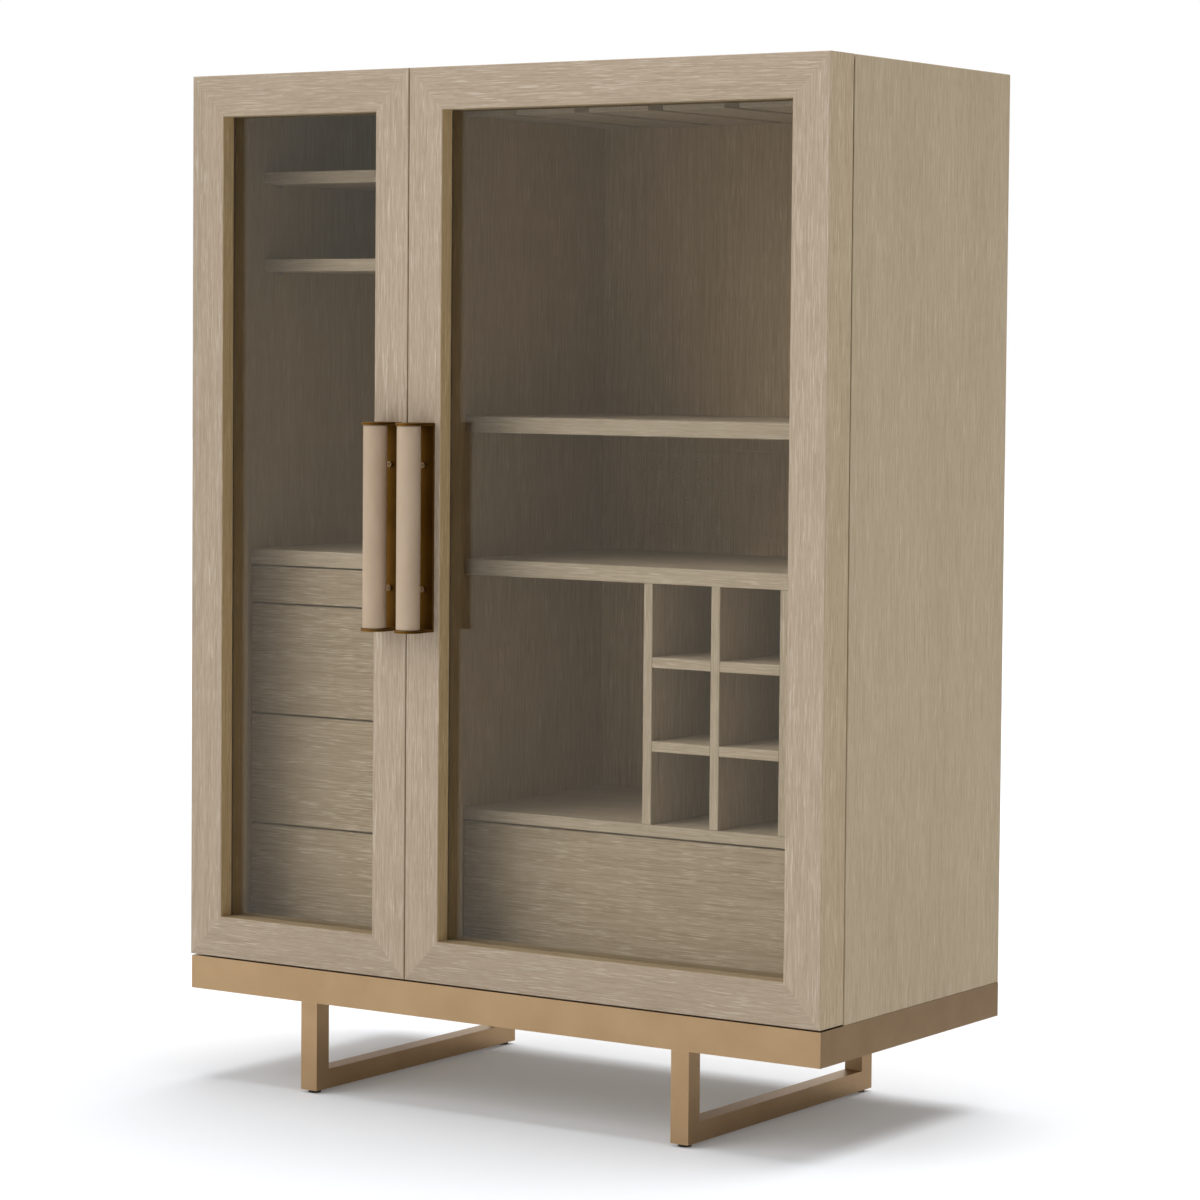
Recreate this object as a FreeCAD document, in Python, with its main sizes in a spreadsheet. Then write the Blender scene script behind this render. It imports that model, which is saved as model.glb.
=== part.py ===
import FreeCAD, Part
import os
import re

# Bar armoire: a two-door glazed cabinet on a metal sled base.
# X runs to the right, Y to the back, Z up. The origin is on the floor, at the middle of the whole outline.

# Driving dimensions in millimetres, by piece.
SIZES = {
    # case
    "cabinet_width": 1170,
    "case_height": 1403.5,
    "case_depth": 476,
    "side_thickness": 25,
    "top_thickness": 25,
    "bottom_thickness": 25,
    "divider_thickness": 50,
    "back_thickness": 16,
    "back_recess": 24,
    "edge_ease": 1,
    # doors
    "door_thickness": 67,
    "hinge_seam": 3,
    "door_floor_gap": 3,
    "door_meeting_gap": 2,
    "stile_width": 62,
    "top_rail_width": 65,
    "bottom_rail_width": 64.5,
    "glass_setback": 26.5,
    "glass_thickness": 5,
    "glass_groove_depth": 10,
    "glass_play": 0.2,
    "glass_edge_play": 1,
    # continuous hinges
    "hinge_leaf_thickness": 0.7,
    "hinge_leaf_width": 18,
    "hinge_barrel_diameter": 2.6,
    "hinge_barrel_inset": 0.25,
    "hinge_pin_diameter": 1.4,
    "hinge_end_margin": 8,
    "hinge_knuckle_gap": 0.4,
    "pin_fit": 0.05,
    # handles
    "handle_height": 320,
    "handle_plate_width": 42,
    "handle_plate_thickness": 3,
    "handle_flange_thickness": 4,
    "handle_axis_reach": 38,
    "grip_diameter": 37,
    "grip_core_diameter": 31,
    "grip_end_play": 0.3,
    "handle_screw_spacing": 190,
    "handle_screw_shift": 2,
    "handle_screw_diameter": 4,
    "handle_screw_length": 25,
    "handle_screw_head_diameter": 9,
    "handle_screw_head_height": 2.5,
    "handle_screw_socket_width": 4,
    "handle_screw_socket_depth": 1.5,
    # shelves
    "front_setback": 50,
    "fixed_shelf_thickness": 25,
    "bottle_shelf_thickness": 18,
    "loose_shelf_thickness": 20,
    "loose_shelf_setback": 80,
    "loose_shelf_play": 0.5,
    "shelf_pin_diameter": 5,
    "shelf_pin_length": 16,
    "shelf_pin_depth": 8,
    "shelf_pin_inset": 40,
    # bottle grid
    "cubby_width": 104,
    "cubby_board_thickness": 16,
    # stemware rack
    "stemware_board_thickness": 18,
    "stemware_slot_width": 25.5,
    "stemware_batten_width": 40,
    "stemware_batten_height": 25,
    # access cover
    "cover_width": 180,
    "cover_height": 138,
    "cover_thickness": 4,
    "cover_lap": 15,
    "cover_plug_depth": 12,
    "cover_play": 0.4,
    # drawers
    "drawer_reveal": 2.5,
    "drawer_front_thickness": 20,
    "tray_front_height": 58.5,
    "drawer_rear_gap": 15,
    "drawer_board_thickness": 12,
    "drawer_bottom_thickness": 6,
    "drawer_side_gap": 13,
    "drawer_box_rise": 8,
    "drawer_box_drop": 12,
    "runner_height": 14,
    "runner_engagement": 6,
    "runner_play": 0.3,
    "runner_end_gap": 10,
    # base
    "apron_height": 52.5,
    "apron_rail_width": 30,
    "apron_setback": 3,
    "tube_wall": 2,
    "leg_bar": 31,
    "leg_rise": 139,
    "leg_inset": 223.5,
    "glide_diameter": 20,
    "glide_height": 5,
    "base_screw_diameter": 5,
    "base_screw_length": 18,
    "base_screw_head_diameter": 9,
    "base_screw_head_height": 3,
    "base_screw_access_diameter": 14,
    "base_screw_inset": 90,
    # every cut runs past its face by this much
    "cut_overrun": 5,
}

# Shares: the left bay's of the clear width, heights of shelves and cover as parts of the case's height,
# and the width of the rack's end boards as a part of its other boards'.
SHARES = {
    "left_bay_share": 0.3519,
    "bar_shelf_share": 0.4632,
    "right_upper_shelf_share": 0.6211,
    "bottle_shelf_share": 0.1854,
    "left_upper_shelf_share": 0.8964,
    "left_lower_shelf_share": 0.7963,
    "cover_centre_share": 0.5326,
    "stemware_end_share": 0.61,
}

# Places worked out from the driving dimensions.
PLACES = {
    # levels
    "case_bottom": "glide_height + leg_rise + apron_height",
    "case_top": "case_bottom + case_height",
    "inner_bottom": "case_bottom + bottom_thickness",
    "inner_top": "case_top - top_thickness",
    "inner_height": "inner_top - inner_bottom",
    "bar_shelf_top": "case_bottom + bar_shelf_share * case_height",
    "bar_shelf_under": "bar_shelf_top - fixed_shelf_thickness",
    "right_upper_shelf_under": "case_bottom + right_upper_shelf_share * case_height - fixed_shelf_thickness",
    "left_upper_shelf_under": "case_bottom + left_upper_shelf_share * case_height - loose_shelf_thickness",
    "left_lower_shelf_under": "case_bottom + left_lower_shelf_share * case_height - loose_shelf_thickness",
    "bottle_shelf_top": "case_bottom + bottle_shelf_share * case_height",
    "bottle_shelf_under": "bottle_shelf_top - bottle_shelf_thickness",
    "cover_bottom": "case_bottom + cover_centre_share * case_height - cover_height / 2",
    # depths
    "handle_reach": "handle_axis_reach + handle_plate_width / 2",
    "overall_depth": "door_thickness + hinge_seam + case_depth",
    "door_front": "(handle_reach - overall_depth) / 2",
    "door_back": "door_front + door_thickness",
    "case_front": "door_back + hinge_seam",
    "case_rear": "case_front + case_depth",
    "back_front": "case_rear - back_recess - back_thickness",
    "fitting_front": "case_front + front_setback",
    "fitting_depth": "back_front - fitting_front",
    # widths
    "outer_left": "-cabinet_width / 2",
    "outer_right": "cabinet_width / 2",
    "inner_left": "outer_left + side_thickness",
    "inner_right": "outer_right - side_thickness",
    "inner_width": "inner_right - inner_left",
    "left_bay_width": "left_bay_share * (inner_width - divider_thickness)",
    "divider_left": "inner_left + left_bay_width",
    "divider_right": "divider_left + divider_thickness",
    "right_bay_width": "inner_right - divider_right",
    "right_bay_centre": "(inner_right + divider_right) / 2",
    # doors
    "door_split": "divider_left + divider_thickness / 2",
    "door_bottom": "case_bottom + door_floor_gap",
    "door_height": "case_height - door_floor_gap",
    "door_top": "door_bottom + door_height",
    "left_door_right": "door_split - door_meeting_gap / 2",
    "right_door_left": "door_split + door_meeting_gap / 2",
    "left_door_width": "left_door_right - outer_left",
    "right_door_width": "outer_right - right_door_left",
    # hinges
    "hinge_axis_inset": "hinge_barrel_inset + hinge_barrel_diameter / 2",
    "hinge_axis_depth": "case_front - hinge_seam / 2",
    "hinge_bottom": "door_bottom + hinge_end_margin",
    "hinge_length": "door_height - 2 * hinge_end_margin",
    "hinge_leaf_start": "hinge_barrel_diameter / 2 + hinge_knuckle_gap",
    # drawers
    "left_drawer_height":
        "(bar_shelf_under - inner_bottom - tray_front_height - 5 * drawer_reveal) / 3",
    "right_drawer_height": "bottle_shelf_under - inner_bottom - 2 * drawer_reveal",
    "drawer_box_front": "fitting_front + drawer_front_thickness",
    "drawer_box_depth": "back_front - drawer_rear_gap - drawer_box_front",
    # bottle grid
    "cubby_pitch": "cubby_width + cubby_board_thickness",
    "cubby_under": "bar_shelf_under",
    "cubby_row_height": "(cubby_under - bottle_shelf_top - 2 * cubby_board_thickness) / 3",
    # stemware rack
    "stemware_under": "inner_top - stemware_batten_height - stemware_board_thickness",
    "stemware_pitch": "stemware_board_width + stemware_slot_width",
    "stemware_board_width":
        "(right_bay_width - 5 * stemware_slot_width) / (4 + 2 * stemware_end_share)",
    "stemware_end_width": "stemware_end_share * stemware_board_width",
    # base
    "apron_bottom": "glide_height + leg_rise",
    "apron_front": "door_front + apron_setback",
    "apron_depth": "case_rear - apron_front",
}

# Counts of what repeats.
HINGE_KNUCKLES = 25
CUBBY_COLUMNS = 3
CUBBY_ROWS = 3
STEMWARE_BOARDS = 4
REAR_RAIL_SCREWS = 3

doc = FreeCAD.newDocument("bar_armoire")
sheet = doc.addObject("Spreadsheet::Sheet", "Sizes")
CELLS = {**SIZES, **SHARES}
for row, (size_name, size_value) in enumerate(CELLS.items(), start=1):
    sheet.set(f"A{row}", size_name)
    sheet.set(f"B{row}", str(size_value))
    sheet.setAlias(f"B{row}", size_name)
doc.recompute()

sub_parts = []


def formula(text):
    """Write a sum of sizes and places as an expression on the sheet's cells."""

    def swap(match):
        name = match.group()
        if name in CELLS:
            return "Sizes." + name
        if name in PLACES:
            return "(" + formula(PLACES[name]) + ")"
        return name

    return re.sub(r"[a-z][a-z_]*", swap, text)


def bind(item, **values):
    """Tie properties of a document object to sums of sizes."""
    for name, text in values.items():
        item.setExpression(name, formula(text))


def put(item, place, turn=None):
    """Tie a placement to three sums of sizes, with a fixed turn."""
    if turn is not None:
        item.Placement = FreeCAD.Placement(FreeCAD.Vector(), turn)
    for axis, text in zip("xyz", place):
        item.setExpression("Placement.Base." + axis, formula(text))


def axes(x_axis, y_axis, z_axis):
    """The turn that sends the three local axes to the given directions."""
    return FreeCAD.Rotation(FreeCAD.Vector(x_axis), FreeCAD.Vector(y_axis), FreeCAD.Vector(z_axis), "XYZ")


UPRIGHT = FreeCAD.Rotation()
ALONG_X = axes((0, 0, -1), (0, 1, 0), (1, 0, 0))
ALONG_Y = axes((1, 0, 0), (0, 0, -1), (0, 1, 0))
ALONG_MINUS_Y = axes((1, 0, 0), (0, 0, 1), (0, -1, 0))


def new_body(label, place, turn=UPRIGHT):
    body = doc.addObject("PartDesign::Body", label)
    body.Label = label
    put(body, place, turn)
    return body


def box(body, sense, name, sizes, place=("0", "0", "0")):
    """Add or cut a box; sense is Additive or Subtractive."""
    item = body.newObject(f"PartDesign::{sense}Box", name)
    length, width, height = sizes
    bind(item, Length=length, Width=width, Height=height)
    put(item, place)
    return item


def rod(body, sense, name, radius, height, place=("0", "0", "0"), turn=UPRIGHT):
    """Add or cut a round rod that starts at its place and runs along its turned Z axis."""
    item = body.newObject(f"PartDesign::{sense}Cylinder", name)
    bind(item, Radius=radius, Height=height)
    put(item, place, turn)
    return item


def mitre(body, sense, name, length, start_run, end_run, low, high, height, base="0", start="0"):
    """Add or cut a bar along X from outer edge low to inner edge high, its ends sloping in by the runs."""
    item = body.newObject(f"PartDesign::{sense}Wedge", name)
    bind(item, Xmin=start, Xmax=f"{start} + {length}")
    bind(item, X2min=f"{start} + {start_run}", X2max=f"{start} + {length} - ({end_run})")
    bind(item, Ymin=low, Ymax=high)
    bind(item, Zmin=base, Zmax=f"{base} + {height}")
    bind(item, Z2min=base, Z2max=f"{base} + {height}")
    return item


def ease(body, feature):
    """Take the sharp arris off every edge of a board."""
    doc.recompute()
    chamfer = body.newObject("PartDesign::Chamfer", "Ease")
    chamfer.Base = (feature, [""])
    chamfer.UseAllEdges = True
    bind(chamfer, Size="edge_ease")
    return chamfer


def board(label, sizes, place):
    """A plain board with eased edges."""
    body = new_body(label, place)
    ease(body, box(body, "Additive", "Blank", sizes))
    return body


def keep(item):
    """Hand one object in as a sub-part of its own."""
    sub_parts.append(item)
    return item


def keep_group(label, pieces):
    """Hand several like pieces in as one sub-part of separate solids."""
    group = doc.addObject("Part::Compound", label)
    group.Label = label
    group.Links = pieces
    return keep(group)


# Case panels

def base_screw_places(rail):
    """Plan places of the screws that hold the case down to one rail of the apron."""
    if rail == "base_rear_rail":
        span = f"(cabinet_width - 2 * base_screw_inset) / {REAR_RAIL_SCREWS - 1}"
        return [(f"outer_left + base_screw_inset + {number} * {span}", "case_rear - apron_rail_width / 2")
                for number in range(REAR_RAIL_SCREWS)]
    across = {"base_left_rail": "outer_left + apron_rail_width / 2",
              "base_right_rail": "outer_right - apron_rail_width / 2"}
    if rail in across:
        return [(across[rail], depth)
                for depth in ("case_front + base_screw_inset", "case_rear - base_screw_inset")]
    return []


def pilot_holes(body, rail, left):
    """Blind holes in the underside of a case panel for the screws of one apron rail."""
    for across, depth in base_screw_places(rail):
        rod(body, "Subtractive", "Pilot", "base_screw_diameter / 2 + pin_fit",
            "base_screw_length - tube_wall + cut_overrun",
            (f"{across} - ({left})", f"{depth} - case_front", "-cut_overrun"))


def side_panel(label, left_face, rail, pin_face):
    """A full-height side; pin_face is the local X where the holes for shelf pins start, if any."""
    body = new_body(label, (left_face, "case_front", "case_bottom"))
    ease(body, box(body, "Additive", "Blank", ("side_thickness", "case_depth", "case_height")))
    pilot_holes(body, rail, left_face)
    if pin_face:
        shelf_pin_holes(body, pin_face, "case_bottom")
    return keep(body)


LOOSE_SHELVES = ("left_upper_shelf", "left_lower_shelf")
SHELF_PIN_ROWS = ("loose_shelf_setback + shelf_pin_inset",
                  "case_depth - back_recess - back_thickness - shelf_pin_inset")


def shelf_pin_level(shelf):
    """Height of a pin's axis: the pin carries the underside of its shelf."""
    return f"{shelf}_under - shelf_pin_diameter / 2 - pin_fit"


def shelf_pin_holes(body, start, bottom):
    """Blind holes for the shelf pins of a panel at the case's front, starting at the local X given."""
    for shelf in LOOSE_SHELVES:
        for inset in SHELF_PIN_ROWS:
            level = f"{shelf_pin_level(shelf)} - ({bottom})"
            rod(body, "Subtractive", "PinHole", "shelf_pin_diameter / 2 + pin_fit", "shelf_pin_depth",
                (start, inset, level), ALONG_X)


side_panel("left_side_panel", "outer_left", "base_left_rail", "side_thickness - shelf_pin_depth")
side_panel("right_side_panel", "inner_right", "base_right_rail", None)
keep(board("top_panel", ("inner_width", "case_depth", "top_thickness"),
           ("inner_left", "case_front", "inner_top")))


def bottom_panel():
    """The case floor, resting on the apron's rear rail."""
    body = new_body("bottom_panel", ("inner_left", "case_front", "case_bottom"))
    ease(body, box(body, "Additive", "Blank", ("inner_width", "case_depth", "bottom_thickness")))
    pilot_holes(body, "base_rear_rail", "inner_left")
    return keep(body)


bottom_panel()


def centre_divider():
    """The thick upright between the two bays."""
    body = new_body("centre_divider", ("divider_left", "case_front", "inner_bottom"))
    sizes = ("divider_thickness", "back_front - case_front", "inner_height")
    ease(body, box(body, "Additive", "Blank", sizes))
    shelf_pin_holes(body, "0", "inner_bottom")
    return keep(body)


centre_divider()


def back_panel():
    """The back, let in between the other panels, with the hole that the access cover closes."""
    body = new_body("back_panel", ("inner_left", "back_front", "inner_bottom"))
    ease(body, box(body, "Additive", "Blank", ("inner_width", "back_thickness", "inner_height")))
    box(body, "Subtractive", "AccessHole",
        ("cover_width - 2 * cover_lap", "back_thickness + 2 * cut_overrun", "cover_height - 2 * cover_lap"),
        ("right_bay_centre - cover_width / 2 + cover_lap - inner_left", "-cut_overrun",
         "cover_bottom + cover_lap - inner_bottom"))
    return keep(body)


back_panel()


def rear_access_cover():
    """A plate that laps over the hole in the back, with a plug that fits into it."""
    body = new_body("rear_access_cover",
                    ("right_bay_centre - cover_width / 2", "back_front - cover_thickness", "cover_bottom"))
    box(body, "Additive", "Plate", ("cover_width", "cover_thickness", "cover_height"))
    box(body, "Additive", "Plug",
        ("cover_width - 2 * cover_lap - 2 * cover_play", "cover_plug_depth",
         "cover_height - 2 * cover_lap - 2 * cover_play"),
        ("cover_lap + cover_play", "cover_thickness", "cover_lap + cover_play"))
    return keep(body)


rear_access_cover()

# Shelves of the left bay

for shelf_name in LOOSE_SHELVES:
    keep(board(shelf_name,
               ("left_bay_width - 2 * loose_shelf_play",
                "back_front - case_front - loose_shelf_setback - loose_shelf_play", "loose_shelf_thickness"),
               ("inner_left + loose_shelf_play", "case_front + loose_shelf_setback", f"{shelf_name}_under")))


def shelf_pins():
    """Eight round pins under the loose shelves, half sunk in the side panel and the divider."""
    pins = []
    starts = ("inner_left - shelf_pin_depth", "divider_left + shelf_pin_depth - shelf_pin_length")
    for shelf in LOOSE_SHELVES:
        for inset in SHELF_PIN_ROWS:
            for start in starts:
                pin = new_body("shelf_pin", (start, f"case_front + {inset}", shelf_pin_level(shelf)))
                rod(pin, "Additive", "Pin", "shelf_pin_diameter / 2", "shelf_pin_length", turn=ALONG_X)
                pins.append(pin)
    return keep_group("shelf_pins", pins)


shelf_pins()

# Fixed shelves

LEFT_BAY_SHELF = ("left_bay_width", "fitting_depth", "fixed_shelf_thickness")
RIGHT_BAY_SHELF = ("right_bay_width", "fitting_depth", "fixed_shelf_thickness")
keep(board("bar_shelf", LEFT_BAY_SHELF, ("inner_left", "fitting_front", "bar_shelf_under")))
keep(board("right_upper_shelf", RIGHT_BAY_SHELF,
           ("divider_right", "fitting_front", "right_upper_shelf_under")))
keep(board("right_lower_shelf", RIGHT_BAY_SHELF, ("divider_right", "fitting_front", "cubby_under")))
keep(board("bottle_shelf", ("right_bay_width", "fitting_depth", "bottle_shelf_thickness"),
           ("divider_right", "fitting_front", "bottle_shelf_under")))

# Bottle grid: upright partitions and row boards, halved into each other at mid depth


def cubby_row_level(number):
    return f"bottle_shelf_top + {number} * cubby_row_height + {number - 1} * cubby_board_thickness"


def cubby_partition(number):
    """One upright, slotted at the back for the row boards; the first one only has them butt against it."""
    body = new_body(f"cubby_partition_{number}",
                    (f"inner_right - {CUBBY_COLUMNS - number + 1} * cubby_pitch", "fitting_front",
                     "bottle_shelf_top"))
    ease(body, box(body, "Additive", "Blank",
                   ("cubby_board_thickness", "fitting_depth", "cubby_under - bottle_shelf_top")))
    if number > 1:
        for line in range(1, CUBBY_ROWS):
            box(body, "Subtractive", "Slot",
                ("cubby_board_thickness + 2 * cut_overrun", "fitting_depth / 2 + cut_overrun",
                 "cubby_board_thickness"),
                ("-cut_overrun", "fitting_depth / 2", f"{cubby_row_level(line)} - bottle_shelf_top"))
    return body


def cubby_row(line):
    """One row board, slotted at the front for the inner partitions."""
    body = new_body(f"cubby_row_{line}",
                    (f"inner_right - {CUBBY_COLUMNS} * cubby_pitch + cubby_board_thickness", "fitting_front",
                     cubby_row_level(line)))
    length = f"{CUBBY_COLUMNS} * cubby_width + {CUBBY_COLUMNS - 1} * cubby_board_thickness"
    ease(body, box(body, "Additive", "Blank", (length, "fitting_depth", "cubby_board_thickness")))
    for number in range(1, CUBBY_COLUMNS):
        box(body, "Subtractive", "Slot",
            ("cubby_board_thickness", "fitting_depth / 2 + cut_overrun",
             "cubby_board_thickness + 2 * cut_overrun"),
            (f"{number} * cubby_pitch - cubby_board_thickness", "-cut_overrun", "-cut_overrun"))
    return body


keep_group("cubby_partitions", [cubby_partition(number) for number in range(1, CUBBY_COLUMNS + 1)])
keep_group("cubby_rows", [cubby_row(line) for line in range(1, CUBBY_ROWS)])

# Stemware rack: boards that carry the glasses' feet, hung from the top on narrower battens


def stemware_rack():
    boards = []
    battens = []
    level = "stemware_under"
    batten_level = "stemware_under + stemware_board_thickness"
    first = "divider_right + stemware_end_width + stemware_slot_width"
    batten_sizes = ("stemware_batten_width", "fitting_depth", "stemware_batten_height")
    for number in range(STEMWARE_BOARDS):
        left = f"{first} + {number} * stemware_pitch"
        boards.append(board("stemware_board", ("stemware_board_width", "fitting_depth",
                                               "stemware_board_thickness"), (left, "fitting_front", level)))
        middle = f"{left} + (stemware_board_width - stemware_batten_width) / 2"
        battens.append(board("stemware_batten", batten_sizes, (middle, "fitting_front", batten_level)))
    end_sizes = ("stemware_end_width", "fitting_depth", "stemware_board_thickness")
    end_batten_sizes = ("stemware_batten_width / 2", "fitting_depth", "stemware_batten_height")
    ends = (("divider_right", "divider_right"),
            ("inner_right - stemware_end_width", "inner_right - stemware_batten_width / 2"))
    for left, batten_left in ends:
        boards.append(board("stemware_end_board", end_sizes, (left, "fitting_front", level)))
        battens.append(board("stemware_end_batten", end_batten_sizes,
                             (batten_left, "fitting_front", batten_level)))
    keep_group("stemware_boards", boards)
    keep_group("stemware_battens", battens)


stemware_rack()

# Drawers


def drawer_box(name, left, width, bottom, height):
    """Sides, front, back and bottom boards; each side has a groove that slides on its runner."""
    pieces = []
    depth = "drawer_box_depth"
    thick = "drawer_board_thickness"
    groove_height = "runner_height + 2 * runner_play"
    for side, across in (("left", left), ("right", f"{left} + {width} - {thick}")):
        body = new_body(f"{name}_{side}_side", (across, "drawer_box_front", bottom))
        ease(body, box(body, "Additive", "Blank", (thick, depth, height)))
        groove_left = "-cut_overrun" if side == "left" else f"{thick} - runner_engagement"
        box(body, "Subtractive", "Groove",
            ("runner_engagement + cut_overrun", f"{depth} + 2 * cut_overrun", groove_height),
            (groove_left, "-cut_overrun", f"({height} - ({groove_height})) / 2"))
        pieces.append(body)
    span = f"{width} - 2 * {thick}"
    for end, along in (("front", "drawer_box_front"), ("back", f"drawer_box_front + {depth} - {thick}")):
        pieces.append(board(f"{name}_{end}_board", (span, thick, height),
                            (f"{left} + {thick}", along, bottom)))
    pieces.append(board(f"{name}_bottom_board", (span, f"{depth} - 2 * {thick}", "drawer_bottom_thickness"),
                        (f"{left} + {thick}", f"drawer_box_front + {thick}", bottom)))
    return pieces


def drawer_runners(name, bay_left, bay_width, bottom, height):
    """Two bars on the bay's walls, reaching into the grooves of the drawer's sides."""
    bar_width = "drawer_side_gap + runner_engagement - runner_play"
    sizes = (bar_width, "drawer_box_depth - 2 * runner_end_gap", "runner_height")
    level = f"{bottom} + ({height} - runner_height) / 2"
    along = "drawer_box_front + runner_end_gap"
    return [board(f"{name}_left_runner", sizes, (bay_left, along, level)),
            board(f"{name}_right_runner", sizes, (f"{bay_left} + {bay_width} - ({bar_width})", along, level))]


def drawer(name, bay_left, bay_width, front_bottom, front_height):
    """A drawer's front and box, and the fixed runners that carry it."""
    keep(board(f"{name}_front", (f"{bay_width} - 2 * drawer_reveal", "drawer_front_thickness", front_height),
               (f"{bay_left} + drawer_reveal", "fitting_front", front_bottom)))
    bottom = f"{front_bottom} + drawer_box_rise"
    height = f"({front_height} - drawer_box_rise - drawer_box_drop)"
    keep_group(f"{name}_box", drawer_box(name, f"{bay_left} + drawer_side_gap",
                                         f"({bay_width} - 2 * drawer_side_gap)", bottom, height))
    return drawer_runners(name, bay_left, bay_width, bottom, height)


def left_drawer_level(number):
    return f"inner_bottom + drawer_reveal + {number} * (left_drawer_height + drawer_reveal)"


runners = []
for number, drawer_name in enumerate(("left_lower_drawer", "left_middle_drawer", "left_upper_drawer")):
    runners += drawer(drawer_name, "inner_left", "left_bay_width", left_drawer_level(number),
                      "left_drawer_height")
runners += drawer("bar_tray", "inner_left", "left_bay_width",
                  "bar_shelf_under - drawer_reveal - tray_front_height", "tray_front_height")
runners += drawer("right_drawer", "divider_right", "right_bay_width", "inner_bottom + drawer_reveal",
                  "right_drawer_height")
keep_group("drawer_runners", runners)

# Doors

INWARD_LEFT = axes((0, 0, 1), (1, 0, 0), (0, 1, 0))
INWARD_RIGHT = axes((0, 0, -1), (-1, 0, 0), (0, 1, 0))
INWARD_TOP = axes((1, 0, 0), (0, 0, -1), (0, 1, 0))
INWARD_BOTTOM = axes((-1, 0, 0), (0, 0, 1), (0, 1, 0))


def frame_member(label, length, width, start_run, end_run, place, turn):
    """A mitred door member: X along it, Y from the outer to the inner edge, Z from the front to the back."""
    body = new_body(label, place, turn)
    mitre(body, "Additive", "Blank", length, start_run, end_run, "0", width, "door_thickness")
    box(body, "Subtractive", "GlassGroove",
        (f"{length} + 2 * cut_overrun", "glass_groove_depth + cut_overrun",
         "glass_thickness + 2 * glass_play"),
        ("-cut_overrun", f"{width} - glass_groove_depth", "glass_setback - glass_play"))
    for across in ("0", width):
        for depth in ("0", "door_thickness"):
            arris = body.newObject("PartDesign::SubtractivePrism", "Arris")
            arris.Polygon = 4
            bind(arris, Circumradius="edge_ease", Height=f"{length} + 2 * cut_overrun")
            put(arris, ("-cut_overrun", across, depth), ALONG_X)
    return body


def handle_screw_offsets():
    return "-handle_screw_spacing / 2", "handle_screw_spacing / 2"


def door(side, left, width):
    """Four mitred members round a pane of glass."""
    right = f"{left} + {width}"
    stiles = {
        "left": (INWARD_LEFT, (left, "door_front", "door_bottom"), "bottom_rail_width", "top_rail_width"),
        "right": (INWARD_RIGHT, (right, "door_front", "door_top"), "top_rail_width", "bottom_rail_width"),
    }
    for hand, (turn, place, start_run, end_run) in stiles.items():
        role = "hinge" if hand == side else "meeting"
        screw_sense = "+" if hand == "left" else "-"
        body = frame_member(f"{side}_door_{role}_stile", "door_height", "stile_width", start_run, end_run,
                            place, turn)
        if role == "meeting":
            for offset in handle_screw_offsets():
                rod(body, "Subtractive", "ScrewHole", "handle_screw_diameter / 2 + pin_fit",
                    "handle_screw_length - handle_plate_thickness + cut_overrun",
                    (f"door_height / 2 + {offset}", f"stile_width / 2 {screw_sense} handle_screw_shift",
                     "-cut_overrun"))
        keep(body)
    keep(frame_member(f"{side}_door_top_rail", width, "top_rail_width", "stile_width", "stile_width",
                      (left, "door_front", "door_top"), INWARD_TOP))
    keep(frame_member(f"{side}_door_bottom_rail", width, "bottom_rail_width", "stile_width", "stile_width",
                      (right, "door_front", "door_bottom"), INWARD_BOTTOM))
    rebate = "(glass_groove_depth - glass_edge_play)"
    pane = new_body(f"{side}_door_glass",
                    (f"{left} + stile_width - {rebate}", "door_front + glass_setback",
                     f"door_bottom + bottom_rail_width - {rebate}"))
    box(pane, "Additive", "Pane",
        (f"{width} - 2 * (stile_width - {rebate})", "glass_thickness",
         f"door_height - bottom_rail_width - top_rail_width + 2 * {rebate}"))
    keep(pane)


door("left", "outer_left", "left_door_width")
door("right", "right_door_left", "right_door_width")

# Handles: a bracket with a core bar, a leather sleeve round the bar, and two socket screws


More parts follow.
